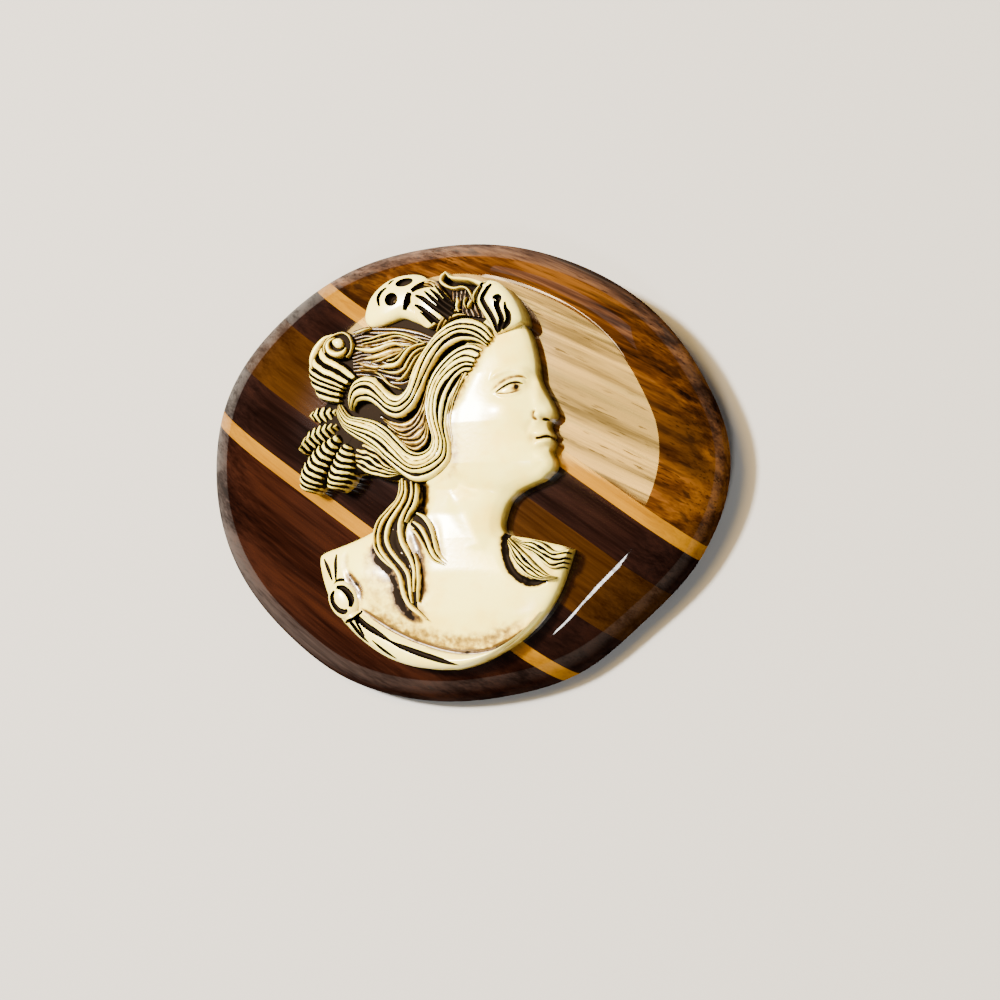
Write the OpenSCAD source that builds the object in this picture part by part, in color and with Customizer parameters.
// Cameo brooch: a laminated wooden pebble with a carved relief bust on its flat top
// and a horizontal pin across its back.
// It lies as it rests on a table: on the two posts of the pin and on its lower rim.

/* [Wooden body] */
// Width of the wooden body, across the figure
wood_w = 62; // [58:0.5:66]
// Height of the wooden body, along the figure
wood_h = 52.8; // [51:0.2:58]
// Thickness of the wooden body at its flat top
wood_t = 8; // [7:0.1:10]
// Height of the rim's widest line above the back
rim_z = 2.4; // [2:0.1:3]
// Rounding of the back's edge
back_round = 0.8; // [0.4:0.1:1.2]
// Widest stretch of the rounded shoulder, between the rim and the flat top
bevel_w = 9; // [7:0.25:10]

/* [Wood strips] */
// Angle of the glue lines, falling to the right
seam_angle = 36; // [30:1:42]
// Distance of the walnut panel's glue line from the middle
walnut_seam = 8.95; // [8:0.05:10]
// Width of the upper maple strip
upper_maple_w = 1.75; // [1.2:0.05:2.4]
// Width of the upper dark strip
upper_dark_w = 4.8; // [4:0.1:5.6]
// Width of the amber strip
amber_w = 7.4; // [6.4:0.1:8.4]
// Width of the lower dark strip
lower_dark_w = 5.8; // [5:0.1:6.6]
// Width of the lower maple strip
lower_maple_w = 1.65; // [1.2:0.05:2.4]
// Thickness of each glue line
glue_gap = 0.04; // [0.02:0.01:0.08]

/* [Cameo] */
// Height of the relief, from the foot of the bust to just above the comb
cameo_h = 45; // [42:0.5:46]
// Distance of the bust's foot from the lower rim
foot_gap = 3.4; // [3:0.1:5]
// Shift of the relief to the right of the middle
cameo_x = 0.15; // [-1:0.05:1]
// Thickness of the cameo at its cut edge
cameo_edge = 2.2; // [1.8:0.1:2.6]
// Height of the cheek above the cameo's back
cheek_rise = 4.7; // [4.2:0.1:5.2]
// Height of the boldest hair waves above the cameo's back
hair_rise = 5.6; // [5.2:0.1:6.4]
// Depth of the grooves between strands of hair
groove = 0.45; // [0.3:0.05:0.6]
// Height of the face, from the hairline to the chin
face_h = 17; // [16:0.1:17.6]
// Backward lean of the head
head_lean = 8; // [5:0.5:11]

/* [Pin] */
// Length of the pin's base plate
plate_l = 30; // [26:0.5:36]
// Width of the pin's base plate
plate_w = 5; // [4:0.1:7]
// Thickness of the pin's base plate
plate_t = 0.8; // [0.6:0.05:1.2]
// Height of the pin's line above the middle of the back
pin_y = 8; // [6:0.25:10]
// Distance between the middles of the two posts
post_span = 24; // [20:0.5:25]
// Radius of the two round posts
post_r = 1.6; // [1.4:0.05:2]
// Thickness of each post along the pin
post_t = 2; // [1.4:0.1:3]
// Radius of the pin's stem
stem_r = 0.45; // [0.35:0.05:0.6]
// Gap between the seated pieces
seat_gap = 0.05; // [0.02:0.01:0.1]

/* [Hidden] */

// Facets of the wooden body around its rim and up its shoulder
rim_sides = 60;
shoulder_rings = 7;
// Roundness of the shoulder, from 1 for a flat slope to 2 for a quarter of an ellipse
shoulder_power = 1.6;

// Columns: bulge of the rim beside a plain ellipse, shoulder's share of bevel_w.
// One row every rim_step degrees, from the right and anticlockwise.
RIM = [
    [1.000, 0.74], [0.975, 0.66], [0.978, 0.58], [0.982, 0.53], [0.994, 0.50], [1.000, 0.55],
    [1.016, 0.68], [1.016, 0.80], [1.022, 0.93], [0.998, 1.00], [0.988, 0.88], [0.985, 0.70],
    [1.006, 0.52], [1.004, 0.42], [0.992, 0.40], [0.985, 0.50], [0.952, 0.68], [0.978, 0.76]
];
rim_step = 360 / len(RIM);

// Columns: inset as a share of back_round, height as a share of rim_z
BACK_EDGE = [[1, 0], [0.4, 0.12], [0.1, 0.4], [0, 1]];

// Smooth curves through the rows of a table
function between(a, b, c, d, t) =
    0.5 * (2 * b + (c - a) * t + (2 * a - 5 * b + 4 * c - d) * t * t
        + (3 * b - a - 3 * c + d) * t * t * t);
function row_of(table, i) = table[max(0, min(len(table) - 1, i))];
function smooth(table, steps) = [
    for (i = [0 : len(table) - 2], k = [0 : steps - 1])
        between(row_of(table, i - 1), table[i], table[i + 1], row_of(table, i + 2), k / steps),
    table[len(table) - 1]
];
function along(table, share) =
    let (s = share * (len(table) - 1), i = min(floor(s), len(table) - 2))
    between(row_of(table, i - 1), table[i], table[i + 1], row_of(table, i + 2), s - i);

// Faces of a solid lofted through rings of points, each ring seen anticlockwise from its far side
function loft_faces(rings, sides) = [
    [for (j = [0 : sides - 1]) j],
    for (i = [0 : rings - 2], j = [0 : sides - 1])
        [i * sides + j, (i + 1) * sides + j, (i + 1) * sides + (j + 1) % sides],
    for (i = [0 : rings - 2], j = [0 : sides - 1])
        [i * sides + j, (i + 1) * sides + (j + 1) % sides, i * sides + (j + 1) % sides],
    [for (j = [sides - 1 : -1 : 0]) (rings - 1) * sides + j]
];
module loft(rings) {
    polyhedron(
        points = [for (ring = rings) each ring],
        faces = loft_faces(len(rings), len(rings[0])),
        convexity = 8
    );
}

// The wooden pebble
function ellipse_r(a) = 1 / sqrt(pow(2 * cos(a) / wood_w, 2) + pow(2 * sin(a) / wood_h, 2));
function rim_turn(i) = RIM[(i + len(RIM)) % len(RIM)];
function rim_row(a) =
    let (i = floor(a / rim_step))
    between(rim_turn(i - 1), rim_turn(i), rim_turn(i + 1), rim_turn(i + 2), a / rim_step - i);
function wood_ring(inset, shoulder, z) = [
    for (k = [0 : rim_sides - 1])
        let (
            a = k * 360 / rim_sides,
            row = rim_row(a),
            r = ellipse_r(a) * row[0] - inset - shoulder * row[1] * bevel_w
        )
        [r * cos(a), r * sin(a), z]
];
shoulder_h = wood_t - rim_z;
wood_rings = [
    for (row = BACK_EDGE) wood_ring(row[0] * back_round, 0, row[1] * rim_z),
    for (k = [1 : shoulder_rings])
        let (f = 90 * k / shoulder_rings)
        wood_ring(
            0,
            1 - pow(cos(f), 2 / shoulder_power),
            rim_z + shoulder_h * pow(sin(f), 2 / shoulder_power)
        )
];

// Resting pose: the posts and the lowest stretch of the rim touch the table together
post_bite = 0.45;
post_z = -seat_gap - plate_t - post_r + post_bite;
rim_points = [for (ring = wood_rings) each ring];
function touch_angle(p) =
    let (dy = pin_y - p[1], dz = p[2] - post_z)
    atan2(dz, dy) + asin(post_r / norm([dy, dz]));
rest_tilt = min([for (p = rim_points) if (p[1] < 0) touch_angle(p)]);
rest_ys = [for (p = rim_points) p[1] * cos(rest_tilt) - p[2] * sin(rest_tilt)];
rest_shift = [
    -(max([for (p = rim_points) p[0]]) + min([for (p = rim_points) p[0]])) / 2,
    -(max(rest_ys) + min(rest_ys)) / 2,
    post_r - pin_y * sin(rest_tilt) - post_z * cos(rest_tilt)
];
module at_rest() {
    translate(rest_shift) rotate([rest_tilt, 0, 0]) children();
}

// Glue lines, as distances from the middle towards the upper right
seam_1 = walnut_seam;
seam_2 = seam_1 - upper_maple_w;
seam_3 = seam_2 - upper_dark_w;
seam_4 = seam_3 - amber_w;
seam_5 = seam_4 - lower_dark_w;
seam_6 = seam_5 - lower_maple_w;
beyond = wood_w;

module strip(low, high, tint) {
    color(tint) at_rest() intersection() {
        loft(wood_rings);
        rotate([0, 0, -seam_angle])
            translate([-beyond, low + glue_gap / 2, -1])
                cube([2 * beyond, high - low - glue_gap, wood_t + 2]);
    }
}
module walnut_panel() { strip(seam_1, beyond, "peru"); }
module upper_maple_strip() { strip(seam_2, seam_1, "goldenrod"); }
module upper_dark_strip() { strip(seam_3, seam_2, "#4a2418"); }
module amber_strip() { strip(seam_4, seam_3, "#8a5a20"); }
module lower_dark_strip() { strip(seam_5, seam_4, "#4a2418"); }
module lower_maple_strip() { strip(seam_6, seam_5, "goldenrod"); }
module mahogany_panel() { strip(-beyond, seam_6, "#4b1c10"); }

// The relief is drawn in hundredths of cameo_h, from the foot of the bust
unit = cameo_h / 100;
face_u = face_h / unit;
hairline = [21.5, 84.5];
face_down = [sin(head_lean), -cos(head_lean)];
face_forward = [cos(head_lean), sin(head_lean)];
function face_point(down, forward) =
    hairline + face_u * (down * face_down + forward * face_forward);

// Columns: down the face and forward of it as shares of its height,
// cheek's share of cheek_rise along the same row
PROFILE = [
    [-0.04, -0.030, 0.80], [0.00, 0.000, 0.84], [0.08, 0.030, 0.88], [0.18, 0.046, 0.92],
    [0.28, 0.050, 0.95], [0.34, 0.044, 0.95], [0.42, 0.066, 0.97], [0.52, 0.108, 1.00],
    [0.60, 0.142, 1.00], [0.63, 0.146, 1.00], [0.655, 0.125, 1.00], [0.67, 0.078, 1.00],
    [0.71, 0.074, 1.00], [0.745, 0.092, 0.98], [0.77, 0.076, 0.98], [0.795, 0.088, 0.97],
    [0.83, 0.062, 0.96], [0.86, 0.060, 0.95], [0.90, 0.080, 0.93], [0.95, 0.078, 0.90],
    [0.985, 0.050, 0.84], [1.00, 0.020, 0.74]
];
// How far behind its profile the head's form reaches, under the hair
head_back = 0.66;
// Thickness at the profile's cut edge as a share of cheek_rise
profile_edge = 0.56;

// Columns: left edge, right edge and height of the row, then its thickness
// at the left, middle and right as shares of cheek_rise
BUST = [
    [-2, 25.5, 48.5, 0.70, 0.78, 0.50], [-2.5, 20.5, 45.0, 0.66, 0.80, 0.50],
    [-2.5, 17.0, 41.0, 0.62, 0.80, 0.50], [-3, 15.8, 37.0, 0.60, 0.80, 0.50],
    [-8, 15.6, 34.5, 0.56, 0.80, 0.50], [-16, 16.8, 32.5, 0.50, 0.82, 0.50],
    [-24.5, 25.0, 30.8, 0.46, 0.84, 0.48], [-31.2, 31.6, 28.5, 0.46, 0.84, 0.46],
    [-31.8, 31.4, 25.0, 0.46, 0.84, 0.46], [-30.7, 30.2, 21.0, 0.46, 0.82, 0.46],
    [-28.9, 28.4, 17.0, 0.46, 0.80, 0.46], [-25.9, 25.8, 13.0, 0.46, 0.76, 0.46],
    [-21.8, 21.4, 9.0, 0.46, 0.70, 0.46], [-16.5, 15.6, 5.0, 0.46, 0.62, 0.46],
    [-10.2, 9.8, 2.0, 0.46, 0.52, 0.46], [-4.2, 5.2, 0.3, 0.46, 0.46, 0.46]
];

// Ground under the hair, drawn round its outside
HAIR_GROUND = [
    [21, 84.5], [19.5, 88.5], [16, 92], [11.5, 94.6], [5, 96.2], [0, 97.6], [-6, 97.8],
    [-12, 97], [-16, 94], [-18.3, 90], [-18.2, 85.8], [-22, 84.2], [-26, 84.6],
    [-30.5, 83.2], [-33.4, 79], [-33.8, 74], [-32, 68.4], [-34.4, 66], [-34.6, 63],
    [-37, 58.6], [-37.6, 55], [-36, 53.4], [-37.4, 50], [-37.6, 46], [-35.4, 44.6],
    [-32.4, 45.4], [-30.6, 48.4], [-29.4, 45.8], [-26.6, 45.4], [-24.6, 47.6],
    [-22, 48.6], [-14, 48], [-9, 46], [-4, 46],
    [2, 47.5], [6, 52], [12, 66], [16, 80]
];

// Locks of hair. Columns: across and up, width, height as a share of hair_rise
FRONT_WAVE = [
    [13.5, 82.6, 2.5, 0.84], [9, 84.2, 4.5, 0.92], [5, 83.8, 6, 0.97], [1, 81.3, 7, 1.00],
    [-2.2, 77.6, 6.6, 1.00], [-4.6, 73, 6.4, 0.98], [-7.2, 68.6, 6.6, 0.96],
    [-10.5, 66.2, 7.4, 0.95], [-14, 67.4, 7.2, 0.96], [-17.2, 69.6, 6.4, 0.98],
    [-20.2, 69.8, 5.6, 0.96], [-22.4, 67.6, 3.6, 0.88], [-22.8, 65.4, 1.6, 0.76]
];
TEMPLE_WAVE = [
    [8.8, 75.4, 4.5, 0.84], [4.6, 74.6, 6.4, 0.94], [1.2, 71, 6.4, 0.98], [0, 66, 6, 1.00],
    [0.3, 61, 6.2, 1.00], [1, 56.6, 6.4, 1.00], [0.6, 52.6, 6.8, 0.99], [-1.8, 49.8, 7.2, 0.98],
    [-5.6, 49, 7.8, 0.97], [-9.4, 51.2, 7.8, 0.97], [-13, 54.8, 7.2, 0.98], [-17, 58, 6.6, 0.98],
    [-21, 60.2, 5.6, 0.94], [-24.4, 62.2, 4, 0.86], [-25.8, 64.6, 2, 0.76]
];
INNER_RIPPLE = [
    [-14, 64.2, 3, 0.62], [-10.5, 60, 4.5, 0.68], [-7.5, 57.4, 4.5, 0.70],
    [-4.8, 58.6, 4, 0.72], [-3.4, 63, 3, 0.70]
];
CROWN_WAVES = [
    [-21.5, 80.6, 6.5, 0.66], [-16, 80.6, 7.2, 0.76], [-10.5, 80.2, 7, 0.80],
    [-5.5, 80.2, 4.5, 0.82], [-2.5, 80.6, 2, 0.84]
];
CROWN_HOLLOW = [
    [-17, 75.6, 3, 0.60], [-13, 73.6, 5.4, 0.66], [-9.4, 73.8, 5.4, 0.72],
    [-7, 76.6, 4, 0.78], [-5.4, 79, 2, 0.80]
];
BROW_ROLL = [
    [10.5, 92.6, 5, 0.74], [13.2, 91.6, 6.8, 0.84], [15.6, 89.2, 8, 0.90],
    [17, 86.4, 7.4, 0.88], [17, 83.6, 4.2, 0.80]
];
TOP_CURL = [
    [1.6, 96.6, 2.4, 0.78], [4.4, 95.6, 2.8, 0.84], [8, 95, 2.8, 0.84], [12, 94, 2, 0.76]
];
TOP_HOLLOW = [[4.6, 92.6, 6, 0.56], [5.4, 89.6, 7, 0.60], [7.6, 87, 6, 0.64]];
NAPE_HAIR = [
    [-21.6, 54, 6, 0.58], [-18, 52, 6.8, 0.66], [-14.6, 50.4, 5.4, 0.68], [-11, 49, 3, 0.66]
];
NECK_TRESS = [
    [-8.6, 47, 4.6, 0.80], [-8.8, 42.6, 4.4, 0.78], [-11.6, 38, 5, 0.78], [-13.8, 33, 6, 0.80],
    [-12.8, 28.2, 5.6, 0.82], [-10.2, 24.2, 4.6, 0.84], [-8.4, 20, 3.8, 0.84],
    [-6.8, 16.4, 2.8, 0.80], [-3.8, 13.2, 0.8, 0.70]
];
INNER_TRESS = [
    [-6.4, 45.6, 2.4, 0.78], [-6.8, 40.6, 2.4, 0.78], [-9, 36, 2.4, 0.80],
    [-9.4, 32, 2.6, 0.84], [-7.4, 27.6, 2.6, 0.86], [-6, 23, 2.2, 0.86], [-5, 17.4, 0.8, 0.76]
];
LOOSE_STRAND = [
    [-6, 36.8, 2.2, 0.78], [-3.6, 33.6, 3.4, 0.86], [-1.4, 29.6, 2.6, 0.86], [1.6, 26.4, 0.7, 0.76]
];
SHOULDER_TRESS = [
    [18.2, 32, 1.4, 0.62], [20.4, 28.8, 5.6, 0.74], [23.6, 26.6, 7.6, 0.78],
    [27.4, 26, 5.6, 0.74], [31, 27.6, 1.4, 0.60]
];
DRESS_BAND = [
    [-21.4, 13.4, 2.6, 0.52], [-15.6, 8.8, 4, 0.56], [-8.4, 5.1, 4.2, 0.56], [0, 2.9, 4, 0.54],
    [7, 2.4, 3, 0.52], [13.2, 4, 2.4, 0.50], [19, 7.3, 2, 0.50], [24, 11.6, 1.8, 0.48],
    [27.6, 17, 1.4, 0.47], [29.6, 22.6, 1, 0.46]
];

// Ringlets. Columns: across and up, width, height as a share of hair_rise
SIDE_ROLL = [[-30.2, 82.6, 6, 0.76], [-29.4, 78.6, 10.4, 0.88], [-28.2, 74, 12, 0.92],
    [-28.4, 69.6, 9.4, 0.80]];
SMALL_RINGLET = [[-33.6, 64.8, 3.4, 0.62], [-30.6, 64.8, 4, 0.68], [-27.6, 64.6, 3.4, 0.66]];
UPPER_RINGLET = [[-25.4, 60.8, 3.4, 0.66], [-28.8, 60, 4.6, 0.74], [-32.8, 58.6, 5, 0.76],
    [-36.2, 56.4, 4, 0.66]];
LONG_RINGLET = [[-26.8, 58.2, 3.6, 0.70], [-29.8, 55.4, 5.8, 0.80], [-32.8, 51.4, 6.4, 0.84],
    [-34.6, 47.8, 6.2, 0.80], [-35.2, 45.8, 4.4, 0.66]];
SHORT_RINGLET = [[-24, 56.2, 3.6, 0.68], [-25.6, 53.2, 5.4, 0.76], [-27, 49.8, 5.8, 0.78],
    [-28.2, 46.8, 4.4, 0.66]];

// Teeth of the comb: start, end and height as a share of hair_rise
TEETH = [
    [[-4, 94.2], [1.2, 91.8], 0.82], [[-5.6, 92.4], [0.6, 89.2], 0.84],
    [[-5.6, 90.4], [-0.6, 87], 0.82], [[-4.6, 88.2], [-1.6, 85.4], 0.76]
];
COMB = [
    [-18.2, 86.2], [-19, 89], [-18.2, 92.4], [-15.6, 95.6], [-11.8, 97.6], [-7.6, 98.3],
    [-3.6, 97.6], [-2.4, 95.6], [-4, 92], [-4.6, 88.6], [-7, 87.3], [-11, 87.2], [-14.6, 86.2]
];

// A ridged, arched lock swept along a table's rows
lock_floor = 0.3;
function lock_ring(at, path, ridges) =
    let (
        tangent = path[1] / norm(path[1]),
        across = [-tangent[1], tangent[0]],
        half = at[2] / 2,
        top = at[3] * hair_rise,
        steps = 2 * ridges
    )
    [
        for (side = [-1, 1]) [
            (at[0] + side * half * across[0]) * unit,
            (at[1] + side * half * across[1]) * unit,
            0
        ],
        for (k = [steps : -1 : 0])
            let (
                s = 2 * k / steps - 1,
                arch = top - (top * lock_floor) * pow(abs(s), 2.6),
                z = arch - (k % 2 == 0 ? groove : 0)
            )
            [(at[0] + s * half * across[0]) * unit, (at[1] + s * half * across[1]) * unit, z]
    ];
function path_of(rows, i) =
    let (a = row_of(rows, i - 1), b = row_of(rows, i + 1))
    [[rows[i][0], rows[i][1]], [b[0] - a[0], b[1] - a[1]]];
module lock(table, ridges, steps = 2) {
    rows = smooth(table, steps);
    loft([for (i = [0 : len(rows) - 1]) lock_ring(rows[i], path_of(rows, i), ridges)]);
}

// A blunt-topped peg that stands on the cameo's back
peg_sides = 6;
module peg(at, r, h) {
    cap = 0.6 * r;
    translate([at[0] * unit, at[1] * unit, 0]) {
        cylinder(h = h - cap, r = r, $fn = peg_sides);
        translate([0, 0, h - cap]) cylinder(h = cap, r1 = r, r2 = 0.45 * r, $fn = peg_sides);
    }
}
module finger(from, to, r, h) {
    hull() {
        peg(from, r, h);
        peg(to, 0.7 * r, 0.94 * h);
    }
}

// One turn of a ringlet: a bar across it, highest in the middle
turn_end = 0.72;
module turn(at, angle, thick) {
    half = at[2] / 2 - thick / 2;
    across = [cos(angle), sin(angle)];
    hull() {
        peg([at[0], at[1]], thick * unit / 2, at[3] * hair_rise);
        for (side = [-1, 1])
            peg([at[0], at[1]] + side * half * across, 0.4 * thick * unit,
                turn_end * at[3] * hair_rise);
    }
}
module ringlet(table, turns, angle) {
    a = along(table, 0);
    b = along(table, 1);
    pitch = norm([b[0] - a[0], b[1] - a[1]]) / turns;
    for (k = [0 : turns - 1])
        turn(along(table, (k + 0.5) / turns), angle, 1.25 * pitch);
}

// A smooth form between a left and a right edge, its rows running downwards
form_columns = 10;
function swell(t, low, mid, high) =
    (1 - t) * low + t * high + (mid - (low + high) / 2) * (1 - pow(abs(2 * t - 1), 2.4));
function form_ring(left, right, low, mid, high) = [
    [left[0] * unit, left[1] * unit, 0],
    [right[0] * unit, right[1] * unit, 0],
    for (k = [form_columns : -1 : 0])
        let (t = k / form_columns, p = left + t * (right - left))
        [p[0] * unit, p[1] * unit, cheek_rise * swell(t, low, mid, high)]
];
module head() {
    loft([
        for (row = PROFILE)
            let (right = face_point(row[0], row[1]), left = face_point(row[0], -head_back))
            form_ring(left, right, 0.80 * row[2], row[2], profile_edge)
    ]);
}
module bust() {
    loft([
        for (row = smooth(BUST, 2))
            form_ring([row[0], row[2]], [row[1], row[2]], row[3], row[4], row[5])
    ]);
}

// Features of the face, placed by shares of its height
module face_bead(down, forward, r, h) {
    at = face_point(down, forward);
    peg(at, r, h * cheek_rise);
}
module face_bar(from, to, r, h) {
    hull() {
        face_bead(from[0], from[1], r, h);
        face_bead(to[0], to[1], r, h);
    }
}
module eye() {
    lid = 0.22;
    face_bar([0.385, -0.020], [0.365, -0.070], lid, 1.02);
    face_bar([0.365, -0.070], [0.400, -0.150], lid, 1.03);
    face_bar([0.430, -0.040], [0.420, -0.120], lid, 0.99);
    face_bar([0.400, -0.045], [0.400, -0.090], 0.42, 0.985);
}
module mouth_and_nose() {
    face_bar([0.745, 0.060], [0.758, 0.010], 0.30, 0.94);
    face_bar([0.795, 0.056], [0.780, 0.010], 0.32, 0.94);
    face_bar([0.640, 0.062], [0.610, 0.046], 0.62, 1.02);
}

// The comb, a low domed shell with cut ovals, and its teeth
comb_rise = 0.72;
comb_cut = 1.1;
module oval(at, across, up, angle, z, h) {
    translate([at[0] * unit, at[1] * unit, z]) rotate([0, 0, angle])
        scale([across * unit, up * unit, 1]) cylinder(h = h, r = 1, $fn = 16);
}
module comb() {
    z = comb_rise * hair_rise;
    difference() {
        hull() {
            linear_extrude(height = 0.8 * z) polygon(COMB * unit);
            translate([-10.5 * unit, 92 * unit, 0]) linear_extrude(height = z)
                scale(0.7) translate([10.5 * unit, -92 * unit]) polygon(COMB * unit);
        }
        oval([-9.2, 96], 2.2, 1, 12, z - comb_cut, 2);
        oval([-12.3, 92.1], 1.7, 1.7, 0, z - comb_cut, 2);
        oval([-16, 92.6], 0.5, 2.2, -14, z - comb_cut, 2);
        oval([-7.6, 91.6], 0.5, 2.2, -16, z - comb_cut, 2);
        oval([-5, 94.8], 2.4, 0.5, 32, z - comb_cut, 2);
    }
    oval([-12.3, 92.1], 0.8, 0.8, 0, 0, 0.92 * z);
    for (tooth = TEETH) finger(tooth[0], tooth[1], 1.1 * unit, tooth[2] * hair_rise);
}

// The end of the side roll, wound into a spiral
spiral_at = [-26.6, 81.2];
spiral_r = 3.3;
spiral_steps = 16;
spiral_turns = 1.5;
module spiral_end() {
    rows = [
        for (k = [0 : spiral_steps])
            let (s = k / spiral_steps, r = spiral_r * (1 - 0.74 * s), a = 360 * spiral_turns * s + 150)
            [spiral_at[0] + r * cos(a), spiral_at[1] + r * sin(a), 1.5 - 0.4 * s, 0.86]
    ];
    lock(rows, 1, 1);
    peg(spiral_at, 1.0 * unit, 0.84 * hair_rise);
    peg(spiral_at, (spiral_r + 0.3) * unit, 0.70 * hair_rise);
}

module hair() {
    linear_extrude(height = cameo_edge) polygon(HAIR_GROUND * unit);
    lock(FRONT_WAVE, 5);
    lock(TEMPLE_WAVE, 5);
    lock(INNER_RIPPLE, 3);
    lock(CROWN_WAVES, 4);
    lock(CROWN_HOLLOW, 3);
    lock(BROW_ROLL, 4);
    lock(TOP_CURL, 1);
    lock(TOP_HOLLOW, 3);
    lock(NAPE_HAIR, 5);
    lock(NECK_TRESS, 4);
    lock(INNER_TRESS, 1);
    lock(LOOSE_STRAND, 2);
    lock(SHOULDER_TRESS, 4);
    spiral_end();
    ringlet(SIDE_ROLL, 7, -24);
    ringlet(SMALL_RINGLET, 5, 86);
    ringlet(UPPER_RINGLET, 9, 66);
    ringlet(LONG_RINGLET, 9, -28);
    ringlet(SHORT_RINGLET, 8, -24);
}

// The dress: a band along the lower edge, two folds on the shoulder and an oval clasp
clasp_at = [-24.6, 17.8];
clasp_lean = 22;
module dress() {
    lock(DRESS_BAND, 2);
    finger([-29.6, 27], [-27, 22.6], 0.9 * unit, 0.6 * cheek_rise);
    finger([-26.4, 28.4], [-26, 22.8], 0.9 * unit, 0.64 * cheek_rise);
    finger([-22.4, 29.6], [-23.6, 23.4], 0.9 * unit, 0.68 * cheek_rise);
    clasp_top = 0.74 * cheek_rise;
    difference() {
        oval(clasp_at, 3.6, 4.8, clasp_lean, 0, clasp_top);
        difference() {
            oval(clasp_at, 2.7, 3.8, clasp_lean, clasp_top - groove, 2 * groove);
            oval(clasp_at, 1.7, 2.7, clasp_lean, clasp_top - 2 * groove, 4 * groove);
        }
    }
}

module cameo() {
    color("ivory") at_rest()
        translate([cameo_x, foot_gap - wood_h / 2, wood_t + seat_gap]) union() {
            head();
            bust();
            eye();
            mouth_and_nose();
            hair();
            comb();
            dress();
        }
}

// The pin: a plate with a round hinge post, a slotted catch post and a pointed stem, all one piece
module x_rod(from, to, r, z) {
    translate([from, pin_y, z]) rotate([0, 90, 0]) cylinder(h = to - from, r = r, $fn = 48);
}
stem_z = post_z - post_r + 2.2 * stem_r;
stem_tip = 2.5;
slot_h = 2.8 * stem_r;
tip_r = 0.08;
stem_end = (post_span + post_t) / 2 + 0.6;
module pin_back() {
    color("silver") at_rest() {
        translate([-plate_l / 2, pin_y - plate_w / 2, -seat_gap - plate_t])
            cube([plate_l, plate_w, plate_t]);
        x_rod(-(post_span + post_t) / 2, -(post_span - post_t) / 2, post_r, post_z);
        difference() {
            x_rod((post_span - post_t) / 2, (post_span + post_t) / 2, post_r, post_z);
            translate([post_span / 2 - post_t, pin_y, stem_z - slot_h / 2])
                cube([2 * post_t, 2 * post_r, slot_h]);
        }
        x_rod(-post_span / 2, stem_end, stem_r, stem_z);
        translate([stem_end, pin_y, stem_z]) rotate([0, 90, 0])
            cylinder(h = stem_tip, r1 = stem_r, r2 = tip_r, $fn = 48);
    }
}

walnut_panel();
upper_maple_strip();
upper_dark_strip();
amber_strip();
lower_dark_strip();
lower_maple_strip();
mahogany_panel();
cameo();
pin_back();
